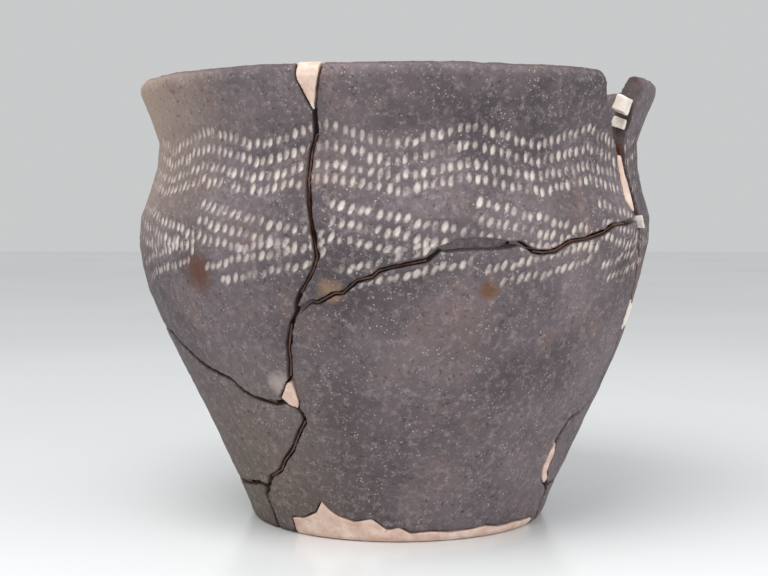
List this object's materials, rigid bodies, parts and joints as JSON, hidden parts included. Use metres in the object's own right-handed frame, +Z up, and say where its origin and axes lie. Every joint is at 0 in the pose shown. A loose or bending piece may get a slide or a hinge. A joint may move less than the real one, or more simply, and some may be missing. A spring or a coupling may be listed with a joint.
{
  "type": "pottery vessel",
  "caption": "Hand-built prehistoric pot with a flared rim, narrow neck, round shoulder and small flat foot, broken into sherds and restored with glue and plaster.",
  "frame": {"origin": "centre of the flat foot, on the surface that the pot stands on", "axes": "+Z up towards the rim; -Y towards the decorated side that the picture shows, with the missing piece of rim towards +X"},
  "size_m": [0.1824, 0.1814, 0.1521],
  "materials": {
    "pottery": "matte",
    "plaster": "matte",
    "glue": "gloss"
  },
  "bodies": {
    "root": {"sherd_upper_left": "pottery", "sherd_upper_front": "pottery", "sherd_lower_front": "pottery", "sherd_lower_left": "pottery", "sherd_upper_right": "pottery", "sherd_lower_right": "pottery", "sherd_upper_back": "pottery", "sherd_lower_back": "pottery", "sherd_foot": "pottery", "fill_rim": "plaster", "fill_junction": "plaster", "fill_belly_right": "plaster", "fill_heel_right": "plaster", "fill_foot_edge": "plaster", "fill_right_strip": "plaster", "fill_shoulder_right": "plaster", "fill_rim_right": "plaster", "fill_neck_right": "plaster", "glue_front_seam": "glue", "glue_front_crack_left": "glue", "glue_front_crack_right": "glue", "glue_front_joint": "glue", "glue_lower_left_seam": "glue", "glue_left_seam": "glue", "glue_back_belly_left": "glue", "glue_back_belly_right": "glue", "glue_right_seam": "glue", "glue_lower_right_seam": "glue", "glue_right_break": "glue", "glue_back_upper_left": "glue", "glue_back_upper_right": "glue", "glue_back_lower_left": "glue", "glue_back_lower_right": "glue", "glue_heel_seam": "glue", "glue_heel_seam_back": "glue", "glue_heel_seam_right": "glue", "glue_floor_seam": "glue"}
  },
  "joints": []
}
